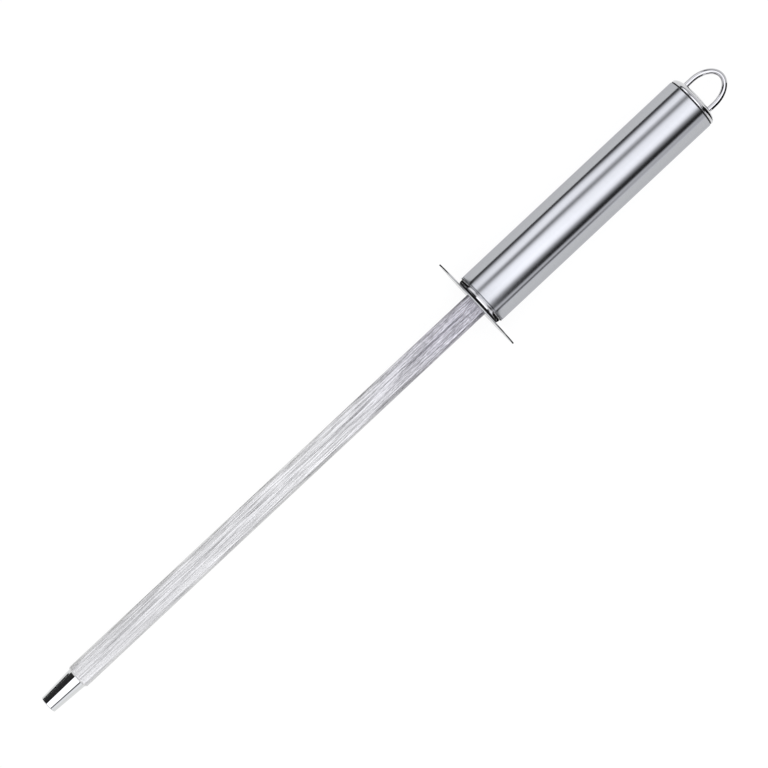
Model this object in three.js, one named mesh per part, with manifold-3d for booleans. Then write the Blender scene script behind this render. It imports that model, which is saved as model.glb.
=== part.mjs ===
// A knife sharpening steel: a ribbed rod with a polished taper at its tip, a thin sheet guard, and a
// round hollow handle closed by a collar at the front and by a domed cap with a wire hanging loop at
// the back. Everything is in millimetres. The steel lies along X with its tip at +X, +Z is up, and the
// origin is under the middle of the steel, on the surface that the guard's edge stands on.
import * as THREE from "three";
import { mergeVertices } from "three/addons/utils/BufferGeometryUtils.js";
import Module from "manifold-3d";

const wasm = await Module();
wasm.setup();

// ---- Driving dimensions -------------------------------------------------------------------------
const ROUND = 48; // sides of every turned piece
const FINE_ROUND = 24; // sides of the wire and of the small holes

const TIP_LENGTH = 13.75; // polished taper at the working end
const RIBBED_LENGTH = 186.75; // from the taper to the guard
const ROD_R = 4.5; // over the crests of the ribs
const RIB_COUNT = 48;
const RIB_DEPTH = 0.15;
const TIP_END_R = 3.25;
const TIP_BASE_R = 3.95;
const TIP_SHOULDER = 0.9; // length of the bevel between the taper and the ribs
const TIP_EDGE = 0.3; // chamfer round the flat end

const GUARD_THICKNESS = 0.5;
const GUARD_HALF_LENGTH = 18.5; // the oval's half axes
const GUARD_HALF_WIDTH = 10.5;

const TUBE_R = 10;
const TUBE_WALL = 0.625;
const TUBE_LENGTH = 98;

const COLLAR_LENGTH = 2; // the polished band between the guard and the tube
const COLLAR_R = 9.375;
const COLLAR_ROUNDING = 1.25;
const CAP_HEIGHT = 3.25;
const CAP_LIP = 0.375; // the straight edge of the cap, as wide as the tube
const CAP_FLAT_R = 5; // the flat middle of the dome
const SKIRT_LENGTH = 8; // how far the collar and the cap reach into the tube
const SHEET = 0.75; // wall of the pressed collar and cap
const FIT_GAP = 0.1; // radial clearance of pieces that slip into each other

const WIRE_R = 1;
const LOOP_HALF_WIDTH = 5.7; // from the axis to the centreline of a leg
const LOOP_LEG = 2.6; // straight part of a leg outside the cap
const LOOP_END = 8.65; // the half oval between the legs, along X on its centreline
const LOOP_STEPS = 32;
const PEENED_HEAD_R = 1.5;
const PEENED_HEAD = 0.75;
const BACKING_PLATE = 1.25;
const BACKING_PLATE_R = 7.25;
const BACKING_PLATE_SEAT = 1.75; // from the cap's lip back to where the plate's rim meets the dome

const TANG_R = 3;
const TANG_LENGTH = 60;
const TANG_CHAMFER = 0.5;
const CORE_END = 50; // back face of the wooden core, measured from the guard's front face
const WASHER_R = 7;
const WASHER_THICKNESS = 1.25;
const LOCK_WASHER_R = 5.25;
const LOCK_WASHER_THICKNESS = 1.5;
const LOCK_WASHER_SPLIT = 0.2; // half angle of the gap, in radians
const NUT_ACROSS_FLATS = 10;
const NUT_HEIGHT = 5;
const NUT_CHAMFER = 0.6;

// ---- Stations along the axis, and sizes worked out from the above -----------------------------------
const LOOP_REACH = LOOP_LEG + LOOP_END + WIRE_R;
const LOOP_GRIP = LOOP_LEG + CAP_HEIGHT - BACKING_PLATE_SEAT + BACKING_PLATE; // leg up to its head
const HANDLE_LENGTH = GUARD_THICKNESS + COLLAR_LENGTH + TUBE_LENGTH + CAP_HEIGHT;
const TOTAL_LENGTH = TIP_LENGTH + RIBBED_LENGTH + HANDLE_LENGTH + LOOP_REACH;
const X_TIP = TOTAL_LENGTH / 2;
const X_GUARD = X_TIP - TIP_LENGTH - RIBBED_LENGTH; // front face of the guard
const X_COLLAR = X_GUARD - GUARD_THICKNESS;
const X_TUBE = X_COLLAR - COLLAR_LENGTH;
const X_CAP = X_TUBE - TUBE_LENGTH; // back end of the tube, where the cap's lip rests
const X_CROWN = X_CAP - CAP_HEIGHT;
const X_PLATE = X_CAP - BACKING_PLATE_SEAT;
const X_CORE_BACK = X_GUARD - CORE_END;

const SKIRT_R = TUBE_R - TUBE_WALL - FIT_GAP;
const CUP_R = SKIRT_R - SHEET; // inside of the collar and of the cap
const TANG_HOLE_R = TANG_R + FIT_GAP;
const WIRE_HOLE_R = WIRE_R + FIT_GAP;
const CORE_R = SKIRT_R;

// ---- Materials --------------------------------------------------------------------------------------
const metal = (color, roughness) => new THREE.MeshStandardMaterial({ color, roughness, metalness: 1 });
const BRUSHED = metal(0xc4c6ca, 0.3);
const POLISHED = metal(0xd6d8db, 0.08);
const RIBBED = metal(0xd9dade, 0.25);
const ZINC = metal(0xa9adb0, 0.35);
const BEECH = new THREE.MeshStandardMaterial({ color: 0xb98a58, roughness: 0.7, metalness: 0 });

// ---- Shape tools --------------------------------------------------------------------------------------
// A closed geometry as a solid that can be joined and cut.
function solid(geometry) {
  const bare = new THREE.BufferGeometry();
  bare.setAttribute("position", geometry.getAttribute("position"));
  if (geometry.index) bare.setIndex(geometry.index);
  const merged = mergeVertices(bare, 1e-4);
  const vertProperties = merged.attributes.position.array;
  const triVerts = new Uint32Array(merged.index.array);
  return new wasm.Manifold(new wasm.Mesh({ numProp: 3, vertProperties, triVerts }));
}

// A solid as a geometry again.
function geometryOf(body) {
  const made = body.getMesh();
  const geometry = new THREE.BufferGeometry();
  geometry.setAttribute("position", new THREE.BufferAttribute(made.vertProperties, 3));
  geometry.setIndex(new THREE.BufferAttribute(made.triVerts, 1));
  geometry.computeVertexNormals();
  return geometry;
}

// A shape turned about the X axis. Each point is [x, radius]; the outline runs with rising x on its
// outside, and it starts and ends on the axis or closes on itself.
function turned(outline, sides = ROUND) {
  const points = outline.map(([x, radius]) => new THREE.Vector2(radius, x));
  return new THREE.LatheGeometry(points, sides).rotateZ(-Math.PI / 2);
}

// A plain cylinder along X, for holes and heads.
function pin(from, to, radius, sides = FINE_ROUND) {
  return turned([[from, 0], [from, radius], [to, radius], [to, 0]], sides);
}

// A flat outline in the YZ plane, given thickness from x = 0 towards +X. A full circle in it gets twice
// its curve segments as sides.
function plate(shape, thickness, sides = ROUND) {
  const settings = { depth: thickness, bevelEnabled: false, curveSegments: sides / 2 };
  return new THREE.ExtrudeGeometry(shape, settings).rotateZ(Math.PI / 2).rotateY(Math.PI / 2);
}

function circle(radius, x = 0) {
  return new THREE.Path().absarc(x, 0, radius, 0, 2 * Math.PI, true);
}

// Points [x, radius] on an arc of an ellipse, between two angles measured from the +X axis.
function arc(centreX, centreR, spanX, spanR, fromAngle, toAngle, steps) {
  const points = [];
  for (let i = 0; i <= steps; i++) {
    const angle = fromAngle + ((toAngle - fromAngle) * i) / steps;
    points.push([centreX + spanX * Math.cos(angle), centreR + spanR * Math.sin(angle)]);
  }
  return points;
}

// ---- The pieces, each with its own datum at x = 0 -------------------------------------------------------
// One forging: taper, ribbed length and tang. Its datum is the guard's front face.
function sharpeningRod() {
  const ribs = new THREE.Shape();
  for (let i = 0; i < 2 * RIB_COUNT; i++) {
    const angle = (i * Math.PI) / RIB_COUNT;
    const radius = i % 2 ? ROD_R - RIB_DEPTH : ROD_R;
    const [y, z] = [radius * Math.cos(angle), radius * Math.sin(angle)];
    if (i) ribs.lineTo(y, z);
    else ribs.moveTo(y, z);
  }
  const end = RIBBED_LENGTH + TIP_LENGTH;
  const hidden = ROD_R - 2 * RIB_DEPTH; // the plain core stays under the roots of the ribs
  const core = turned([
    [-TANG_LENGTH, 0],
    [-TANG_LENGTH, TANG_R - TANG_CHAMFER],
    [-TANG_LENGTH + TANG_CHAMFER, TANG_R],
    [TANG_CHAMFER, TANG_R],
    [2 * TANG_CHAMFER, hidden],
    [RIBBED_LENGTH - TANG_CHAMFER, hidden],
    [RIBBED_LENGTH + TIP_SHOULDER, TIP_BASE_R],
    [end - TIP_EDGE, TIP_END_R],
    [end, TIP_END_R - TIP_EDGE],
    [end, 0],
  ]);
  return geometryOf(solid(plate(ribs, RIBBED_LENGTH)).add(solid(core)));
}

// An oval of thin sheet, longer along Y, so that the steel doesn't roll. Datum: its back face.
function guardPlate() {
  const outline = new THREE.Shape();
  outline.absellipse(0, 0, GUARD_HALF_LENGTH, GUARD_HALF_WIDTH, 0, 2 * Math.PI, false);
  outline.holes.push(circle(TANG_HOLE_R));
  return plate(outline, GUARD_THICKNESS);
}

// A pressed cup: a polished band with a rounded front edge, and a skirt inside the tube. Datum: the
// back of the band.
function frontCollar() {
  const roundFoot = COLLAR_LENGTH - COLLAR_ROUNDING;
  return turned([
    [COLLAR_LENGTH, TANG_HOLE_R],
    [COLLAR_LENGTH - SHEET, TANG_HOLE_R],
    [COLLAR_LENGTH - SHEET, CUP_R],
    [-SKIRT_LENGTH, CUP_R],
    [-SKIRT_LENGTH, SKIRT_R],
    [0, SKIRT_R],
    [0, COLLAR_R],
    ...arc(roundFoot, COLLAR_R - COLLAR_ROUNDING, COLLAR_ROUNDING, COLLAR_ROUNDING, Math.PI / 2, 0, 5),
    [COLLAR_LENGTH, TANG_HOLE_R],
  ]);
}

// The rolled tube of the handle. Datum: its front end.
function handleTube() {
  const bore = TUBE_R - TUBE_WALL;
  return turned([
    [-TUBE_LENGTH, bore],
    [-TUBE_LENGTH, TUBE_R],
    [0, TUBE_R],
    [0, bore],
    [-TUBE_LENGTH, bore],
  ]);
}

// A turned wooden core that centres the tang in the tube and carries the nut's pull. Datum: its back.
function corePlug() {
  const length = CORE_END - GUARD_THICKNESS - SHEET;
  const insideCollar = X_TUBE - SKIRT_LENGTH - X_CORE_BACK - FIT_GAP;
  return turned([
    [0, TANG_HOLE_R],
    [0, CORE_R],
    [insideCollar, CORE_R],
    [insideCollar, CUP_R - FIT_GAP],
    [length, CUP_R - FIT_GAP],
    [length, TANG_HOLE_R],
    [0, TANG_HOLE_R],
  ]);
}

// Datum of the washers and of the nut: their back faces.
function flatWasher() {
  return turned([
    [0, TANG_HOLE_R],
    [0, WASHER_R],
    [WASHER_THICKNESS, WASHER_R],
    [WASHER_THICKNESS, TANG_HOLE_R],
    [0, TANG_HOLE_R],
  ]);
}

function lockWasher() {
  const [from, to] = [LOCK_WASHER_SPLIT, 2 * Math.PI - LOCK_WASHER_SPLIT];
  const ring = new THREE.Shape()
    .absarc(0, 0, LOCK_WASHER_R, from, to, false)
    .absarc(0, 0, TANG_HOLE_R, to, from, true);
  return plate(ring, LOCK_WASHER_THICKNESS);
}

function tangNut() {
  const hexagon = new THREE.Shape();
  const corner = NUT_ACROSS_FLATS / 2 / Math.cos(Math.PI / 6);
  for (let i = 0; i < 6; i++) {
    const angle = (i * Math.PI) / 3;
    const [y, z] = [corner * Math.cos(angle), corner * Math.sin(angle)];
    if (i) hexagon.lineTo(y, z);
    else hexagon.moveTo(y, z);
  }
  hexagon.holes.push(circle(TANG_HOLE_R));
  const chamfered = turned([
    [0, 0],
    [0, corner - NUT_CHAMFER],
    [NUT_CHAMFER / 2, corner],
    [NUT_HEIGHT - NUT_CHAMFER / 2, corner],
    [NUT_HEIGHT, corner - NUT_CHAMFER],
    [NUT_HEIGHT, 0],
  ]);
  return geometryOf(solid(plate(hexagon, NUT_HEIGHT)).intersect(solid(chamfered)));
}

// A pressed cap: a lip as wide as the tube, a low dome, and a skirt inside the tube. Datum: the lip's
// front, on the end of the tube.
function rearCap() {
  const domeHeight = CAP_HEIGHT - CAP_LIP;
  const quarterTurn = [Math.PI, Math.PI / 2];
  const outside = arc(-CAP_LIP, CAP_FLAT_R, domeHeight, TUBE_R - CAP_FLAT_R, ...quarterTurn, 8);
  const insideHeight = domeHeight + CAP_LIP - SHEET;
  const inside = arc(0, CAP_FLAT_R, insideHeight, CUP_R - CAP_FLAT_R, ...quarterTurn, 5).reverse();
  const cup = turned([
    [-CAP_HEIGHT, 0],
    ...outside,
    [0, TUBE_R],
    [0, SKIRT_R],
    [SKIRT_LENGTH, SKIRT_R],
    [SKIRT_LENGTH, CUP_R],
    ...inside,
    [-insideHeight, 0],
  ]);
  const hole = pin(-CAP_HEIGHT - 1, 1, WIRE_HOLE_R);
  const left = solid(hole.clone().translate(0, LOOP_HALF_WIDTH, 0));
  const right = solid(hole.clone().translate(0, -LOOP_HALF_WIDTH, 0));
  return geometryOf(solid(cup).subtract(left).subtract(right));
}

// A disc behind the dome that the wire's peened ends pull against. Datum: its back face.
function loopBackingPlate() {
  const disc = new THREE.Shape().absarc(0, 0, BACKING_PLATE_R, 0, 2 * Math.PI, false);
  disc.holes.push(circle(WIRE_HOLE_R, LOOP_HALF_WIDTH), circle(WIRE_HOLE_R, -LOOP_HALF_WIDTH));
  return plate(disc, BACKING_PLATE);
}

// The centreline of the loop: one leg, half an oval, the other leg. Each leg takes a fifth of t.
class LoopLine extends THREE.Curve {
  getPoint(t, target = new THREE.Vector3()) {
    const leg = LOOP_GRIP + PEENED_HEAD;
    const share = 1 / 5;
    if (t < share) return target.set(leg * (1 - t / share), LOOP_HALF_WIDTH, 0);
    if (t > 1 - share) return target.set(leg * (1 - (1 - t) / share), -LOOP_HALF_WIDTH, 0);
    const angle = (Math.PI * (t - share)) / (1 - 2 * share);
    return target.set(-LOOP_END * Math.sin(angle), LOOP_HALF_WIDTH * Math.cos(angle), 0);
  }
}

// A bent wire whose ends are peened over the backing plate. Datum: where its legs meet the half oval.
function hangingLoop() {
  const section = new THREE.Shape().absarc(0, 0, WIRE_R, 0, 2 * Math.PI, false);
  const settings = { extrudePath: new LoopLine(), steps: LOOP_STEPS, curveSegments: FINE_ROUND / 2 };
  const wire = solid(new THREE.ExtrudeGeometry(section, settings));
  const head = pin(LOOP_GRIP, LOOP_GRIP + PEENED_HEAD, PEENED_HEAD_R);
  const left = solid(head.clone().translate(0, LOOP_HALF_WIDTH, 0));
  const right = solid(head.clone().translate(0, -LOOP_HALF_WIDTH, 0));
  return geometryOf(wire.add(left).add(right));
}

// ---- The assembly ---------------------------------------------------------------------------------------
const steel = new THREE.Group();
steel.position.z = GUARD_HALF_WIDTH; // the axis, with the guard's edge on z = 0

function place(name, geometry, material, x) {
  const mesh = new THREE.Mesh(geometry, material);
  mesh.name = name;
  mesh.position.x = x;
  steel.add(mesh);
}

const X_LOCK_WASHER = X_CORE_BACK - WASHER_THICKNESS - LOCK_WASHER_THICKNESS;
place("sharpening_rod", sharpeningRod(), RIBBED, X_GUARD);
place("guard_plate", guardPlate(), BRUSHED, X_COLLAR);
place("front_collar", frontCollar(), POLISHED, X_TUBE);
place("handle_tube", handleTube(), BRUSHED, X_TUBE);
place("core_plug", corePlug(), BEECH, X_CORE_BACK);
place("flat_washer", flatWasher(), ZINC, X_CORE_BACK - WASHER_THICKNESS);
place("lock_washer", lockWasher(), ZINC, X_LOCK_WASHER);
place("tang_nut", tangNut(), ZINC, X_LOCK_WASHER - NUT_HEIGHT);
place("rear_cap", rearCap(), POLISHED, X_CAP);
place("loop_backing_plate", loopBackingPlate(), ZINC, X_PLATE);
place("hanging_loop", hangingLoop(), POLISHED, X_CROWN - LOOP_LEG);

const part = new THREE.Group();
part.add(steel);

export default part;
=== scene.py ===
"""Looks for the knife sharpening steel: finer pieces, materials, and a studio of lamps and dark screens."""
import math
import random

import bpy
from mathutils import Matrix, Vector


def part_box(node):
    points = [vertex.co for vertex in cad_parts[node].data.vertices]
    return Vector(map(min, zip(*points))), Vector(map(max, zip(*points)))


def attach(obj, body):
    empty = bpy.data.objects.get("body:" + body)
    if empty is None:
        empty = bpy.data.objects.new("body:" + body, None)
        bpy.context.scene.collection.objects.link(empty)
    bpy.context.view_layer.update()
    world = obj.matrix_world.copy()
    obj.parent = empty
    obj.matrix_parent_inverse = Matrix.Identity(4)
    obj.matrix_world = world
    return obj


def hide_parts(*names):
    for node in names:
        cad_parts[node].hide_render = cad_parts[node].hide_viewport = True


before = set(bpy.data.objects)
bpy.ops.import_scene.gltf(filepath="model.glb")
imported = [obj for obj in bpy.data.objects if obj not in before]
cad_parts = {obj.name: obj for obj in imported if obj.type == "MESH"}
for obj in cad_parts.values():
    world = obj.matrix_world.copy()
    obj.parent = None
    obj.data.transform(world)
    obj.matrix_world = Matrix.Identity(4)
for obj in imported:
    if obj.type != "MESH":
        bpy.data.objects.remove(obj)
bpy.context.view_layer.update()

MM = 0.001

# ---- Places and sizes, from the frame -----------------------------------------------------------------
ROD_LOW, ROD_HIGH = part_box("sharpening_rod")
GUARD_LOW, GUARD_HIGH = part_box("guard_plate")
COLLAR_LOW, COLLAR_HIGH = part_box("front_collar")
TUBE_LOW, TUBE_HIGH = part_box("handle_tube")
CAP_LOW, CAP_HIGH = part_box("rear_cap")
LOOP_LOW, LOOP_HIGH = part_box("hanging_loop")

AXIS_Z = (GUARD_LOW.z + GUARD_HIGH.z) / 2  # the steel's axis runs along X at this height
X_TIP = ROD_HIGH.x
X_GUARD = GUARD_HIGH.x
X_TANG_END = ROD_LOW.x
X_TUBE_FRONT = TUBE_HIGH.x
X_TUBE_BACK = TUBE_LOW.x
X_CROWN = CAP_LOW.x
ROD_R = ROD_HIGH.y
TUBE_R = TUBE_HIGH.y

# Sizes that the frame's boxes don't tell.
TIP_LENGTH = 13.75 * MM
TIP_BASE_R = 3.95 * MM
TIP_END_R = 3.25 * MM
TANG_R = 3 * MM
TANG_CHAMFER = 0.5 * MM
TUBE_WALL = 0.625 * MM
SHEET = 0.75 * MM  # wall of the pressed collar and cap
FIT_GAP = 0.1 * MM
SKIRT_R = TUBE_R - TUBE_WALL - FIT_GAP
CUP_R = SKIRT_R - SHEET  # inside of the collar and of the cap
WIRE_R = 1 * MM
PEENED_HEAD_R = 1.5 * MM
PEENED_HEAD = 0.75 * MM
LOOP_LEG = 2.6 * MM  # straight part of a leg outside the cap


# ---- Mesh tools ---------------------------------------------------------------------------------------
def new_piece(name, vertices, faces, sharp_angle=40):
    """A mesh object shaded smooth, with its edges sharp where the faces turn by more than sharp_angle."""
    mesh = bpy.data.meshes.new(name)
    mesh.from_pydata(vertices, [], faces)
    mesh.validate()
    mesh.shade_smooth()
    mesh.set_sharp_from_angle(angle=math.radians(sharp_angle))
    piece = bpy.data.objects.new(name, mesh)
    bpy.context.scene.collection.objects.link(piece)
    return piece


def on_axis(x, radius, angle):
    """The point at a distance from the steel's axis; angle 0 is straight up and 90 degrees is +Y."""
    return (x, radius * math.sin(angle), AXIS_Z + radius * math.cos(angle))


def rounded(corners, steps=5):
    """A closed outline [(x, r)] with each corner (x, r, fillet) cut by an arc of that radius."""
    outline = []
    for i, (x, r, fillet) in enumerate(corners):
        if fillet == 0:
            outline.append((x, r))
            continue
        before, after = corners[i - 1], corners[(i + 1) % len(corners)]
        to_before = (before[0] - x, before[1] - r)
        to_after = (after[0] - x, after[1] - r)
        length_before = math.hypot(*to_before)
        length_after = math.hypot(*to_after)
        unit_before = (to_before[0] / length_before, to_before[1] / length_before)
        unit_after = (to_after[0] / length_after, to_after[1] / length_after)
        cosine = unit_before[0] * unit_after[0] + unit_before[1] * unit_after[1]
        half = math.acos(max(-1.0, min(1.0, cosine))) / 2
        cut = fillet / math.tan(half)
        bisector = (unit_before[0] + unit_after[0], unit_before[1] + unit_after[1])
        scale = fillet / math.sin(half) / math.hypot(*bisector)
        centre = (x + bisector[0] * scale, r + bisector[1] * scale)
        start = (x + unit_before[0] * cut - centre[0], r + unit_before[1] * cut - centre[1])
        end = (x + unit_after[0] * cut - centre[0], r + unit_after[1] * cut - centre[1])
        first = math.atan2(start[1], start[0])
        turn = math.atan2(end[1], end[0]) - first
        turn = (turn + math.pi) % (2 * math.pi) - math.pi
        for k in range(steps + 1):
            angle = first + turn * k / steps
            outline.append((centre[0] + fillet * math.cos(angle), centre[1] + fillet * math.sin(angle)))
    return outline


def turned(name, outline, sides=160, sharp_angle=40):
    """A closed outline [(x, r)] turned about the steel's axis. Points with r = 0 become one vertex."""
    vertices, rings, faces = [], [], []
    for x, r in outline:
        if r == 0:
            rings.append([len(vertices)] * sides)
            vertices.append(on_axis(x, 0, 0))
            continue
        rings.append(list(range(len(vertices), len(vertices) + sides)))
        vertices.extend(on_axis(x, r, 2 * math.pi * k / sides) for k in range(sides))
    pairs = list(zip(rings, rings[1:] + rings[:1]))
    for ring, following in pairs:
        if ring[0] == ring[1] and following[0] == following[1]:
            continue  # the stretch along the axis itself
        for k in range(sides):
            n = (k + 1) % sides
            corners = [ring[k], ring[n], following[n], following[k]]
            face = [v for j, v in enumerate(corners) if v != corners[j - 1]]
            faces.append(face)
    return new_piece(name, vertices, faces, sharp_angle)


def joined_rings(rings, around, closed=False, turned_over=False):
    """Quads that join each ring of vertices to the next one, and the last to the first if closed."""
    faces = []
    for i in range(rings if closed else rings - 1):
        low, high = i * around, (i + 1) % rings * around
        for k in range(around):
            here, there = k, (k + 1) % around
            if turned_over:
                here, there = there, here
            faces.append([low + here, low + there, high + there, high + here])
    return faces


def darken(piece, chosen):
    """Gives the dark joint material, which is painted shade, as a second material to polygons for which
    chosen(x, radius) is true.
    """
    piece.data.materials.append(JOINT_SHADE)
    for polygon in piece.data.polygons:
        x, y, z = polygon.center
        polygon.material_index = int(chosen(x, math.hypot(y, z - AXIS_Z)))


# ---- Pieces -------------------------------------------------------------------------------------------
GROOVES = 124  # lengthwise V grooves round the rod, of uneven width and depth
GROOVE_RINGS = 90
GROOVE_WIDTHS = (0.6, 1.4)  # narrowest and widest, as shares of the average
GROOVE_SLOPES = (18, 34)  # degrees that a groove's walls lean from the rod's surface
GROOVE_WAVES = (18, 60)  # millimetres over which a groove's depth swells and shrinks
GROOVE_SWELL = 0.4  # how much of the depth that is
CREST_SHARE = 0.14  # part of a groove's width that stays uncut
SHOULDER = 0.6 * MM  # length of the slope from the ribs down to the polished taper
RIB_END_DROP = 0.12 * MM  # how far the ribs' crests round off at the shoulder
SHOULDER_STEP = 0.04 * MM  # how far the shoulder's foot stands proud of the taper
SHOULDER_GAP = 0.02 * MM
TIP_ROUNDING = 0.3 * MM
TIP_ROUNDING_STEPS = 6
TAPER_STEPS = 8


def cut_grooves():
    """Columns round the rod: each has its angle, and None or its groove's depth, wave and phase."""
    rng = random.Random(11)
    widths = [rng.uniform(*GROOVE_WIDTHS) for _ in range(GROOVES)]
    columns = []
    start = 0.0
    for width in widths:
        share = 2 * math.pi * width / sum(widths)
        half = ROD_R * share * (1 - CREST_SHARE) / 2
        depth = half * math.tan(math.radians(rng.uniform(*GROOVE_SLOPES)))
        wave = 2 * math.pi / (rng.uniform(*GROOVE_WAVES) * MM)
        phase = rng.uniform(0, 2 * math.pi)
        columns.append((start, None))
        columns.append((start + share * CREST_SHARE, None))
        columns.append((start + share * (1 + CREST_SHARE) / 2, (depth, wave, phase)))
        start += share
    return columns


def sharpening_rod():
    """One forging: tang, ribbed length with uneven ribs, a shoulder, and the polished taper."""
    columns = cut_grooves()
    x_shoulder = X_TIP - TIP_LENGTH

    def ribbed_ring(x, drop=0.0):
        ring = []
        for angle, groove in columns:
            radius = ROD_R - drop
            if groove:
                depth, wave, phase = groove
                radius -= depth * (1 + GROOVE_SWELL * math.sin(wave * x + phase))
            ring.append(on_axis(x, radius, angle))
        return ring

    def plain_ring(x, radius):
        return [on_axis(x, radius, angle) for angle, _ in columns]

    rings = [
        plain_ring(X_TANG_END, TANG_R - TANG_CHAMFER),
        plain_ring(X_TANG_END + TANG_CHAMFER, TANG_R),
        plain_ring(X_GUARD, TANG_R),
    ]
    ribs_end = x_shoulder - SHOULDER
    for k in range(GROOVE_RINGS + 1):
        rings.append(ribbed_ring(X_GUARD + (ribs_end - X_GUARD) * k / GROOVE_RINGS))
    rings.append(ribbed_ring(ribs_end + SHOULDER / 3, RIB_END_DROP))
    rings.append(plain_ring(x_shoulder - SHOULDER_GAP, TIP_BASE_R + SHOULDER_STEP))
    taper_to = X_TIP - TIP_ROUNDING
    for k in range(TAPER_STEPS + 1):
        along = k / TAPER_STEPS
        x = x_shoulder + (taper_to - x_shoulder) * along
        rings.append(plain_ring(x, TIP_BASE_R + (TIP_END_R - TIP_BASE_R) * along))
    for k in range(1, TIP_ROUNDING_STEPS + 1):
        turn = k / TIP_ROUNDING_STEPS * math.pi / 2
        radius = TIP_END_R - TIP_ROUNDING * (1 - math.cos(turn))
        rings.append(plain_ring(taper_to + TIP_ROUNDING * math.sin(turn), radius))

    around = len(columns)
    vertices = [point for ring in rings for point in ring]
    faces = joined_rings(len(rings), around, turned_over=True)
    tang_centre, tip_centre = len(vertices), len(vertices) + 1
    vertices += [on_axis(X_TANG_END, 0, 0), on_axis(X_TIP, 0, 0)]
    top = (len(rings) - 1) * around
    for k in range(around):
        n = (k + 1) % around
        faces.append([k, n, tang_centre])
        faces.append([top + n, top + k, tip_centre])
    piece = new_piece("sharpening_rod_detail", vertices, faces, sharp_angle=22)
    piece.data.materials.append(RIBBED)
    piece.data.materials.append(POLISHED_TIP)
    for polygon in piece.data.polygons:
        if polygon.center.x > x_shoulder:
            polygon.material_index = 1
    return piece


def guard_plate():
    """An oval of sheet with eased edges and a hole for the tang."""
    half_y = GUARD_HIGH.y
    half_z = GUARD_HIGH.z - AXIS_Z
    edge = 0.08 * MM  # how far the edges are eased
    hole = TANG_R + FIT_GAP
    sides, edge_steps = 192, 5
    section = [(GUARD_LOW.x, None)]
    for k in range(edge_steps + 1):
        turn = math.pi / 2 * k / edge_steps
        section.append((GUARD_LOW.x + edge * (1 - math.cos(turn)), edge * (1 - math.sin(turn))))
    for k in range(edge_steps, -1, -1):
        turn = math.pi / 2 * k / edge_steps
        section.append((GUARD_HIGH.x - edge * (1 - math.cos(turn)), edge * (1 - math.sin(turn))))
    section.append((GUARD_HIGH.x, None))
    vertices = []
    for x, inset in section:
        for k in range(sides):
            turn = 2 * math.pi * k / sides
            y = hole * math.cos(turn) if inset is None else (half_y - inset) * math.cos(turn)
            z = hole * math.sin(turn) if inset is None else (half_z - inset) * math.sin(turn)
            vertices.append((x, y, AXIS_Z + z))
    faces = joined_rings(len(section), sides, closed=True)
    piece = new_piece("guard_plate_detail", vertices, faces, sharp_angle=50)
    piece.data.materials.append(GUARD_SHEET)
    return piece


def front_collar():
    """A pressed cup: a rounded front, a slightly tapered band, and a skirt inside the tube."""
    front = COLLAR_HIGH.x
    back = X_TUBE_FRONT + 0.12 * MM  # a fine joint stays open between the band and the tube
    front_r = COLLAR_HIGH.y - 0.1 * MM
    back_r = COLLAR_HIGH.y + 0.08 * MM
    outer_rounding, inner_rounding, edge = 1.1 * MM, 0.6 * MM, 0.1 * MM
    hole = TANG_R + FIT_GAP
    crevice = 0.85 * MM  # how far behind the guard the rounding gets painted shade
    outline = rounded([
        (front, hole, 0),
        (front, front_r, outer_rounding),
        (back, back_r, 0.12 * MM),
        (back, SKIRT_R, 0),
        (COLLAR_LOW.x, SKIRT_R, edge),
        (COLLAR_LOW.x, CUP_R, edge),
        (front - SHEET, CUP_R, inner_rounding),
        (front - SHEET, hole, 0),
    ], steps=8)
    piece = turned("front_collar_detail", outline)
    piece.data.materials.append(POLISHED)
    # Painted shade: the front rounding behind the guard takes the dark joint material.
    darken(piece, lambda x, radius: x > front - crevice and radius > CUP_R)
    return piece


def handle_tube():
    """The rolled tube: deburred ends, and a fine line turned just behind its front lip."""
    bore = TUBE_R - TUBE_WALL
    line = X_TUBE_FRONT - 0.62 * MM
    line_half, line_depth, line_edge = 0.15 * MM, 0.2 * MM, 0.05 * MM
    bore_edge, lip_rounding, back_edge = 0.08 * MM, 0.2 * MM, 0.1 * MM
    outline = rounded([
        (X_TUBE_BACK, bore, bore_edge),
        (X_TUBE_FRONT, bore, bore_edge),
        (X_TUBE_FRONT, TUBE_R - 0.03 * MM, lip_rounding),
        (line + line_half, TUBE_R, line_edge),
        (line, TUBE_R - line_depth, 0),
        (line - line_half, TUBE_R, line_edge),
        (X_TUBE_BACK, TUBE_R, back_edge),
    ])
    piece = turned("handle_tube_detail", outline, sides=288)
    piece.data.materials.append(BRUSHED)
    return piece


def drilled(piece, places, radius):
    """Cuts a round hole along X through the piece at each y."""
    cutters = []
    behind, inside = X_CROWN - SHEET, X_TUBE_BACK
    for y in places:
        cutter = turned("cutter", [(behind, 0), (behind, radius), (inside, radius), (inside, 0)], sides=40)
        cutter.data.transform(Matrix.Translation((0, y, 0)))
        cut = piece.modifiers.new("hole", "BOOLEAN")
        cut.operation = "DIFFERENCE"
        cut.solver = "EXACT"
        cut.object = cutter
        cutters.append(cutter)
    evaluated = piece.evaluated_get(bpy.context.evaluated_depsgraph_get())
    mesh = bpy.data.meshes.new_from_object(evaluated)
    piece.modifiers.clear()
    piece.data = mesh
    for cutter in cutters:
        bpy.data.objects.remove(cutter)


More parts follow.
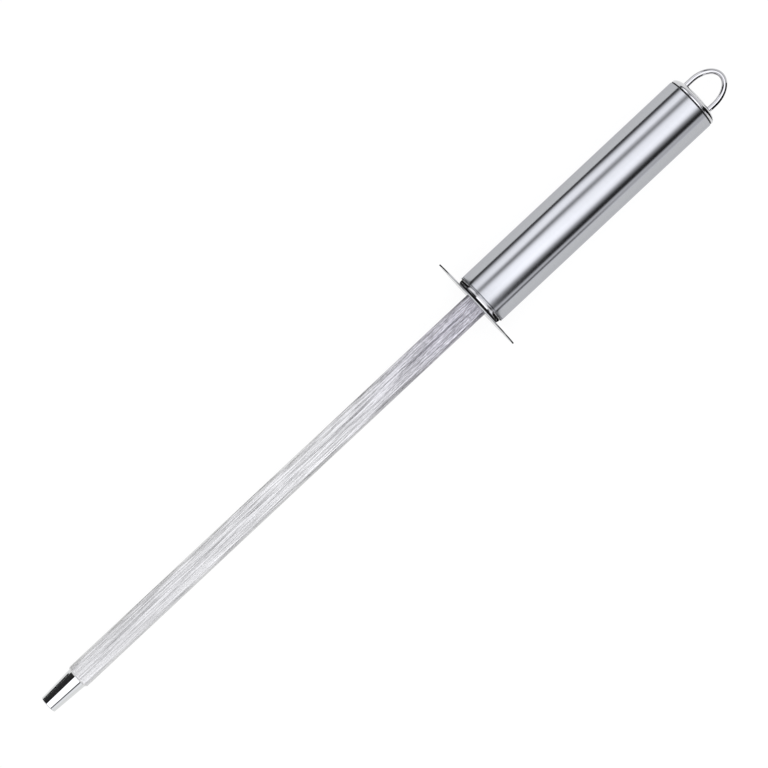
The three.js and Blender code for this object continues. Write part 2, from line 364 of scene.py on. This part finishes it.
def rear_cap():
    """A pressed cap: a lip close to the tube, a low dome, a skirt inside the tube, two wire holes."""
    height = X_TUBE_BACK - X_CROWN
    seam = 0.5 * MM  # the open joint between the tube's end and the lip
    seam_reach = 0.15 * MM  # how far the painted shade of the joint goes on into the tube
    lip = 0.4 * MM
    lip_r = TUBE_R - 0.08 * MM
    dome_r = TUBE_R - 0.1 * MM
    inner_dome_r = CUP_R - 0.2 * MM
    flat = 4.2 * MM  # the dome's flat middle
    lip_rounding, edge = 0.14 * MM, 0.1 * MM
    x_seam = X_TUBE_BACK - seam
    x_dome = x_seam - lip
    steps = 16
    dome, inside = [], []
    for k in range(1, steps + 1):
        turn = math.pi / 2 * k / steps
        dome.append((x_dome - (height - seam - lip) * math.sin(turn),
                     flat + (dome_r - flat) * math.cos(turn), 0))
        inside.append((X_TUBE_BACK - (height - SHEET) * math.sin(turn),
                       flat + (inner_dome_r - flat) * math.cos(turn), 0))
    outline = rounded([
        (x_seam, SKIRT_R, 0),
        (x_seam, lip_r, lip_rounding),
        (x_dome, dome_r, 0),
        *dome,
        (X_CROWN, 0, 0),
        (X_CROWN + SHEET, 0, 0),
        *reversed(inside),
        (X_TUBE_BACK, CUP_R, 0),
        (CAP_HIGH.x, CUP_R, edge),
        (CAP_HIGH.x, SKIRT_R, edge),
        (X_TUBE_BACK + seam_reach, SKIRT_R, 0),
    ])
    outline.reverse()
    piece = turned("rear_cap_detail", outline, sides=192)
    leg = LOOP_HIGH.y - PEENED_HEAD_R
    drilled(piece, (-leg, leg), WIRE_R + FIT_GAP)
    piece.data.materials.append(POLISHED)
    # Painted shade: the skirt at the bottom of the open joint takes the dark joint material.
    slack = 0.02 * MM
    darken(piece, lambda x, radius: (x_seam - slack < x < X_TUBE_BACK + seam_reach
                                     and SKIRT_R - 0.05 * MM < radius < TUBE_R - 0.3 * MM))
    return piece


def hanging_loop():
    """The bent wire: two straight legs joined by half an oval, peened behind the plate in the cap."""
    half_width = LOOP_HIGH.y - PEENED_HEAD_R
    oval_x = X_CROWN - LOOP_LEG
    oval_span = oval_x - LOOP_LOW.x - WIRE_R
    leg_steps, oval_steps, around = 8, 96, 32
    head = [(0, 0.9 * MM), (0.05 * MM, 1.2 * MM), (0.2 * MM, PEENED_HEAD_R - 0.05 * MM),
            (0.4 * MM, PEENED_HEAD_R), (PEENED_HEAD, PEENED_HEAD_R), (PEENED_HEAD, WIRE_R)]
    stations = [(LOOP_HIGH.x - back, radius) for back, radius in head]
    straight_from = LOOP_HIGH.x - PEENED_HEAD
    for k in range(1, leg_steps):
        stations.append((straight_from + (oval_x - straight_from) * k / leg_steps, WIRE_R))
    path = [(x, half_width, math.pi, radius) for x, radius in stations]
    for k in range(oval_steps + 1):
        turn = math.pi * k / oval_steps
        heading = math.atan2(-half_width * math.sin(turn), -oval_span * math.cos(turn))
        path.append((oval_x - oval_span * math.sin(turn), half_width * math.cos(turn), heading, WIRE_R))
    path += [(x, -half_width, 0.0, radius) for x, radius in reversed(stations)]
    vertices = []
    for x, y, heading, radius in path:
        side = (-math.sin(heading), math.cos(heading))
        for k in range(around):
            turn = 2 * math.pi * k / around
            out = radius * math.cos(turn)
            vertices.append((x + side[0] * out, y + side[1] * out, AXIS_Z + radius * math.sin(turn)))
    faces = joined_rings(len(path), around)
    faces.append(list(range(around - 1, -1, -1)))
    faces.append(list(range((len(path) - 1) * around, len(path) * around)))
    piece = new_piece("hanging_loop_detail", vertices, faces)
    piece.data.materials.append(WIRE)
    return piece


# ---- Materials ----------------------------------------------------------------------------------------
def new_material(name, color, roughness, metallic=1.0):
    """A Principled material. Returns its nodes, links and shader too."""
    material = bpy.data.materials.new(name)
    material.use_nodes = True
    nodes, links = material.node_tree.nodes, material.node_tree.links
    shader = nodes["Principled BSDF"]
    shader.inputs["Base Color"].default_value = (*color, 1)
    shader.inputs["Roughness"].default_value = roughness
    shader.inputs["Metallic"].default_value = metallic
    return material, nodes, links, shader


def streaks(nodes, links, stretch, scale, detail=4.0):
    """Noise in the object's own coordinates, squeezed by stretch along X, Y and Z."""
    place = nodes.new("ShaderNodeTexCoord")
    mapping = nodes.new("ShaderNodeMapping")
    mapping.inputs["Scale"].default_value = stretch
    noise = nodes.new("ShaderNodeTexNoise")
    noise.inputs["Scale"].default_value = scale
    noise.inputs["Detail"].default_value = detail
    links.new(place.outputs["Object"], mapping.inputs["Vector"])
    links.new(mapping.outputs["Vector"], noise.inputs["Vector"])
    return noise


def ranged(nodes, links, source, low, high):
    """A 0 to 1 value spread over low to high."""
    spread = nodes.new("ShaderNodeMapRange")
    spread.inputs["To Min"].default_value = low
    spread.inputs["To Max"].default_value = high
    links.new(source, spread.inputs["Value"])
    return spread.outputs["Result"]


def bumped(nodes, links, shader, height, distance, strength):
    bump = nodes.new("ShaderNodeBump")
    bump.inputs["Strength"].default_value = strength
    bump.inputs["Distance"].default_value = distance
    links.new(height, bump.inputs["Height"])
    links.new(bump.outputs["Normal"], shader.inputs["Normal"])


def ramped(nodes, links, source, dark, light, between=(0, 1)):
    """A colour from dark to light as the source goes from the first to the second number of between."""
    ramp = nodes.new("ShaderNodeValToRGB")
    ramp.color_ramp.elements[0].position, ramp.color_ramp.elements[1].position = between
    ramp.color_ramp.elements[0].color = (*dark, 1)
    ramp.color_ramp.elements[1].color = (*light, 1)
    links.new(source, ramp.inputs["Fac"])
    return ramp.outputs["Color"]


def tinted(nodes, links, shader, source, dark, light):
    links.new(ramped(nodes, links, source, dark, light), shader.inputs["Base Color"])


def brushed_material():
    """Satin steel brushed round the tube, in fine lines of uneven tone and shine."""
    material, nodes, links, shader = new_material("brushed_tube", (0.465, 0.474, 0.494), 0.13)
    shader.inputs["Anisotropic"].default_value = 0.5
    shader.inputs["Specular Tint"].default_value = (0.75, 0.75, 0.77, 1)
    shader.inputs["Anisotropic Rotation"].default_value = 0.25
    tangent = nodes.new("ShaderNodeTangent")
    tangent.direction_type = "RADIAL"
    tangent.axis = "X"
    links.new(tangent.outputs["Tangent"], shader.inputs["Tangent"])
    lines = streaks(nodes, links, (1, 0.03, 0.03), 9000)
    links.new(ranged(nodes, links, lines.outputs["Fac"], 0.09, 0.17), shader.inputs["Roughness"])
    tinted(nodes, links, shader, lines.outputs["Fac"], (0.424, 0.433, 0.448), (0.492, 0.5, 0.525))
    bumped(nodes, links, shader, lines.outputs["Fac"], 0.004 * MM, 0.3)
    return material


GUARD_SHADE_LENGTH = 78 * MM  # how far from the guard the rod's painted shade reaches


def ribbed_material():
    """Chromed steel with short scratches along the ribs. Its colour is darker by the guard than near the
    tip: painted shade.
    """
    material, nodes, links, shader = new_material("ribbed_steel", (0.6, 0.6, 0.61), 0.2)
    place = nodes.new("ShaderNodeTexCoord")
    split = nodes.new("ShaderNodeSeparateXYZ")
    links.new(place.outputs["Object"], split.inputs["Vector"])
    towards_tip = nodes.new("ShaderNodeMapRange")
    towards_tip.interpolation_type = "SMOOTHSTEP"
    towards_tip.inputs["From Min"].default_value = X_GUARD
    towards_tip.inputs["From Max"].default_value = X_GUARD + GUARD_SHADE_LENGTH
    links.new(split.outputs["X"], towards_tip.inputs["Value"])
    lines = streaks(nodes, links, (0.07, 1, 1), 8500)
    # Painted shade: by the guard the colour is darker and its streaks deeper.
    shaded_by_guard = ramped(nodes, links, lines.outputs["Fac"], (0.2, 0.195, 0.22), (0.67, 0.66, 0.705),
                      between=(0.32, 0.66))
    by_tip = ramped(nodes, links, lines.outputs["Fac"], (0.62, 0.62, 0.615), (0.72, 0.72, 0.72))
    mix = nodes.new("ShaderNodeMix")
    mix.data_type = "RGBA"
    links.new(towards_tip.outputs["Result"], mix.inputs["Factor"])
    links.new(shaded_by_guard, mix.inputs["A"])
    links.new(by_tip, mix.inputs["B"])
    links.new(mix.outputs["Result"], shader.inputs["Base Color"])
    links.new(ranged(nodes, links, lines.outputs["Fac"], 0.14, 0.3), shader.inputs["Roughness"])
    bumped(nodes, links, shader, lines.outputs["Fac"], 0.008 * MM, 0.5)
    return material


def polished_material(name, color, roughness):
    """Mirror-like steel whose polish is a little uneven."""
    material, nodes, links, shader = new_material(name, color, roughness)
    haze = streaks(nodes, links, (1, 1, 1), 900)
    links.new(ranged(nodes, links, haze.outputs["Fac"], roughness * 0.6, roughness * 1.6),
              shader.inputs["Roughness"])
    return material


def joint_shade_material():
    """Near-black steel that paints in the shade of the crevices between parts: painted shade, with a little
    random grain.
    """
    material, nodes, links, shader = new_material("painted_joint_shade", (0.05, 0.05, 0.055), 0.5)
    grain = streaks(nodes, links, (1, 1, 1), 3000)
    tinted(nodes, links, shader, grain.outputs["Fac"], (0.02, 0.02, 0.02), (0.08, 0.08, 0.085))
    return material


def zinc_material():
    material, nodes, links, shader = new_material("zinc_plate", (0.5, 0.52, 0.53), 0.4)
    grain = streaks(nodes, links, (1, 1, 1), 1500)
    tinted(nodes, links, shader, grain.outputs["Fac"], (0.4, 0.42, 0.43), (0.56, 0.58, 0.58))
    bumped(nodes, links, shader, grain.outputs["Fac"], 0.05 * MM, 0.3)
    return material


def beech_material():
    material, nodes, links, shader = new_material("beech", (0.5, 0.32, 0.17), 0.65, metallic=0.0)
    grain = streaks(nodes, links, (0.06, 1, 1), 700)
    tinted(nodes, links, shader, grain.outputs["Fac"], (0.36, 0.21, 0.1), (0.58, 0.38, 0.2))
    bumped(nodes, links, shader, grain.outputs["Fac"], 0.1 * MM, 0.4)
    return material


BRUSHED = brushed_material()
RIBBED = ribbed_material()
POLISHED = polished_material("polished_steel", (0.62, 0.62, 0.63), 0.07)
POLISHED_TIP = polished_material("polished_tip", (0.66, 0.67, 0.67), 0.05)
WIRE = polished_material("polished_wire", (0.58, 0.58, 0.59), 0.06)
GUARD_SHEET = polished_material("guard_sheet", (0.33, 0.335, 0.34), 0.14)
# The dark joint material is painted shade for the crevices between parts.
JOINT_SHADE = joint_shade_material()
ZINC = zinc_material()
BEECH = beech_material()


# ---- The object ---------------------------------------------------------------------------------------
DETAILED = {
    "sharpening_rod": (sharpening_rod, "ribbed_steel"),
    "guard_plate": (guard_plate, "guard_sheet"),
    "front_collar": (front_collar, "polished_steel"),
    "handle_tube": (handle_tube, "brushed_tube"),
    "rear_cap": (rear_cap, "polished_steel"),
    "hanging_loop": (hanging_loop, "polished_wire"),
}
for node, (make, slot) in DETAILED.items():
    made = make()
    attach(made, "root")
    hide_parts(node)

CARRIED_OVER = {
    "core_plug": BEECH,
    "flat_washer": ZINC,
    "lock_washer": ZINC,
    "tang_nut": ZINC,
    "loop_backing_plate": ZINC,
}
for node, material in CARRIED_OVER.items():
    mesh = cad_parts[node].data
    mesh.materials.clear()
    mesh.materials.append(material)


# ---- Floor, light and camera ----------------------------------------------------------------------------
FLOOR_SIZE = 6.0
FLOOR_GLOW = 0.92
FLOOR_ALBEDO = 0.12


def make_floor():
    half = FLOOR_SIZE / 2
    corners = [(-half, -half, 0), (half, -half, 0), (half, half, 0), (-half, half, 0)]
    floor = new_piece("floor", corners, [[0, 1, 2, 3]])
    material, nodes, links, shader = new_material("pale_floor", (FLOOR_ALBEDO,) * 3, 1.0, metallic=0.0)
    shader.inputs["Specular IOR Level"].default_value = 0
    shader.inputs["Emission Color"].default_value = (1, 1, 1, 1)
    shader.inputs["Emission Strength"].default_value = FLOOR_GLOW
    floor.data.materials.append(material)


def changed(stops, levels):
    """The same stops, with another level at some of the angles."""
    return [(angle, levels.get(angle, level)) for angle, level in stops]


# The studio round the steel. Long lamps and dark screens hang parallel to it, and each list says how
# bright they are at each angle from straight up, in degrees towards +Y.
# Where the levels come from: OVER_HANDLE follows the bands across the handle in the photo. A scratch
# program worked out from the photo's brightness the light that would make them. The stops were written
# from that, rounded and sharpened, and changed over several renders measured against the photo. Its rear
# and front versions were set angle by angle from such measurements. The other lists were set by comparing
# renders with the photo.
OVER_HANDLE = [
    (-90, 0.45), (-88, 0.08), (-81, 0.08), (-77, 0.55), (-71, 1.45), (-62, 1.8), (-50, 1.65), (-44, 1.4),
    (-40, 0.95), (-36, 0.42), (-31, 0.42), (-25, 1.0), (-18, 1.55), (-9, 1.8), (14, 1.92), (24, 1.75),
    (30, 1.35), (35, 0.85), (41, 0.42), (48, 0.12), (53, 0.03), (61, 0.03), (64, 0.3), (67, 0.65),
    (70, 0.85), (74, 0.75), (78, 0.22), (82, 0.2), (86, 0.95), (90, 1.05),
]
OVER_HANDLE_REAR = changed(OVER_HANDLE, {
    -77: 0.28, -71: 0.85, -62: 1.5, -36: 0.8, -25: 0.68, -18: 1.35, -9: 1.68, 78: 0.75, 82: 0.8,
})
OVER_HANDLE_FRONT = changed(OVER_HANDLE, {
    -77: 0.28, -71: 0.85, -62: 1.5, -50: 1.7, -44: 1.5, -40: 1.1, -36: 0.58, -31: 0.3, -25: 0.75, -9: 1.95,
    14: 2.15, 24: 1.95, 30: 1.5, 35: 0.95, 53: 0.02, 61: 0.02, 78: 0.1, 82: 0.15,
})
OVER_ROD = [
    (-90, 0.35), (-86, 0.12), (-80, 0.3), (-74, 1.0), (-50, 1.08), (0, 0.98), (40, 0.98), (60, 1.05),
    (90, 1.1),
]
OVER_TIP = [
    (-90, 0.04), (-24, 0.02), (-20, 1.9), (46, 1.9), (50, 0.12), (62, 0.15), (67, 1.15), (90, 1.1),
]
REAR_GAP = [(0, 0.12)]
REAR_SCREEN = [
    (-90, 0.6), (-84, 0.35), (-72, 0.4), (-66, 0.8), (-20, 0.75), (20, 0.78), (50, 1.0), (58, 0.4),
    (72, 0.3), (80, 0.85), (90, 0.9),
]
FRONT_GAP = [(0, 0.06)]
FRONT_LAMP = [
    (-90, 0.7), (-84, 0.4), (-72, 0.45), (-66, 1.1), (0, 1.2), (50, 1.1), (58, 0.5), (72, 0.4), (80, 0.9),
    (90, 0.9),
]
# The stretches of the studio from the loop's end to the tip's, each with the range over which it takes
# over from the one before, as the share of +X in a direction.
STUDIO = [
    (REAR_SCREEN, None), (REAR_GAP, (-0.62, -0.55)), (OVER_HANDLE_REAR, (-0.46, -0.38)),
    (OVER_HANDLE, (-0.12, -0.09)), (OVER_HANDLE_FRONT, (-0.07, -0.045)), (OVER_ROD, (0.035, 0.1)),
    (OVER_TIP, (0.13, 0.19)), (FRONT_GAP, (0.32, 0.38)), (FRONT_LAMP, (0.52, 0.58)),
]
STUDIO_TINT = (1.0, 1.0, 1.04)


def studio_ramp(nodes, links, source, stops):
    """A stretch's light, looked up by angle. A ramp's colours stop at 1, so it is scaled up after."""
    ramp = nodes.new("ShaderNodeValToRGB")
    brightest = max(level for _, level in stops)
    elements = ramp.color_ramp.elements
    while len(elements) < len(stops):
        elements.new(0.5)
    while len(elements) > len(stops):
        elements.remove(elements[-1])
    for element, (angle, level) in zip(elements, stops):
        element.position = angle / 360 + 0.5
        element.color = tuple(level / brightest * c / max(STUDIO_TINT) for c in STUDIO_TINT) + (1,)
    links.new(source, ramp.inputs["Fac"])
    scaled = nodes.new("ShaderNodeVectorMath")
    scaled.operation = "SCALE"
    scaled.inputs["Scale"].default_value = brightest * max(STUDIO_TINT)
    links.new(ramp.outputs["Color"], scaled.inputs[0])
    return scaled.outputs["Vector"]


def make_studio():
    """A world that a direction's angle about X and its share of +X look up. The camera sees it white."""
    world = bpy.data.worlds.new("studio")
    bpy.context.scene.world = world
    world.use_nodes = True
    nodes, links = world.node_tree.nodes, world.node_tree.links
    background = nodes["Background"]
    place = nodes.new("ShaderNodeTexCoord")
    split = nodes.new("ShaderNodeSeparateXYZ")
    links.new(place.outputs["Generated"], split.inputs["Vector"])
    angle = nodes.new("ShaderNodeMath")
    angle.operation = "ARCTAN2"
    links.new(split.outputs["Y"], angle.inputs[0])
    links.new(split.outputs["Z"], angle.inputs[1])
    turn = nodes.new("ShaderNodeMapRange")
    turn.inputs["From Min"].default_value = -math.pi
    turn.inputs["From Max"].default_value = math.pi
    links.new(angle.outputs["Value"], turn.inputs["Value"])

    def mixed(factor, first, second):
        mix = nodes.new("ShaderNodeMix")
        mix.data_type = "VECTOR"
        links.new(factor, mix.inputs["Factor"])
        links.new(first, mix.inputs["A"])
        links.new(second, mix.inputs["B"])
        return mix.outputs["Result"]

    light = None
    for stops, change in STUDIO:
        stretch = studio_ramp(nodes, links, turn.outputs["Result"], stops)
        if light is None:
            light = stretch
            continue
        share = nodes.new("ShaderNodeMapRange")
        share.interpolation_type = "SMOOTHSTEP"
        share.inputs["From Min"].default_value, share.inputs["From Max"].default_value = change
        links.new(split.outputs["X"], share.inputs["Value"])
        light = mixed(share.outputs["Result"], light, stretch)

    white = nodes.new("ShaderNodeCombineXYZ")
    for axis in "XYZ":
        white.inputs[axis].default_value = 1
    seen = nodes.new("ShaderNodeLightPath")
    background_light = mixed(seen.outputs["Is Camera Ray"], light, white.outputs["Vector"])
    links.new(background_light, background.inputs["Color"])


CARD_FOOT = 0.1 * MM  # the cards stand just clear of the floor


def make_card(name, span_x, inner, outer):
    """A dark card between two edges along X, each at its (y, z), that only shows in reflections."""
    from_x, to_x = span_x
    corners = [(from_x, *inner), (to_x, *inner), (to_x, *outer), (from_x, *outer)]
    card = new_piece(name, corners, [[0, 1, 2, 3]])
    material, nodes, links, shader = new_material(name, (0.01, 0.01, 0.01), 1.0, metallic=0.0)
    shader.inputs["Specular IOR Level"].default_value = 0
    card.data.materials.append(material)
    card.visible_camera = False
    card.visible_diffuse = False
    card.visible_shadow = False


def make_cards():
    """Cards that draw the dark line along the loop, the dark band of the tip, and the collar's sides."""
    loop_side, tip_side = LOOP_HIGH.y + 8 * MM, -33 * MM
    make_card("loop_card", (LOOP_LOW.x - 16 * MM, X_CROWN - 2 * MM),
              (loop_side, CARD_FOOT), (loop_side, 28 * MM))
    make_card("tip_card", (X_TIP - 7 * MM, X_TIP + 25 * MM),
              (tip_side, CARD_FOOT), (tip_side, 12 * MM))
    for name, way in (("left", -1), ("right", 1)):
        low, middle, high = (way * 8 * MM, CARD_FOOT), (way * 19 * MM, 8.3 * MM), (way * 45 * MM, 28 * MM)
        make_card("collar_card_" + name, (X_TUBE_FRONT, GUARD_LOW.x - 0.05 * MM), low, middle)
        make_card("side_card_" + name, (X_TUBE_FRONT - 0.5 * MM, GUARD_HIGH.x + 2.5 * MM), middle, high)


CAMERA_ABOVE_AXIS = 1200 * MM
CAMERA_OVER = (-0.75 * MM, -1.65 * MM)
CAMERA_TURN = 180 - 43.1  # the steel lies at 43.1 degrees in the picture, its loop at the upper right
CAMERA_VIEW = 12.5  # degrees across the picture


def make_camera():
    data = bpy.data.cameras.new("camera")
    data.angle = math.radians(CAMERA_VIEW)
    data.clip_start, data.clip_end = 0.01, 20
    camera = bpy.data.objects.new("camera", data)
    camera.location = (*CAMERA_OVER, AXIS_Z + CAMERA_ABOVE_AXIS)
    camera.rotation_euler = (0, 0, math.radians(CAMERA_TURN))
    bpy.context.scene.collection.objects.link(camera)
    bpy.context.scene.camera = camera


make_floor()
make_studio()
make_cards()
make_camera()
bpy.context.scene.view_settings.view_transform = "Standard"
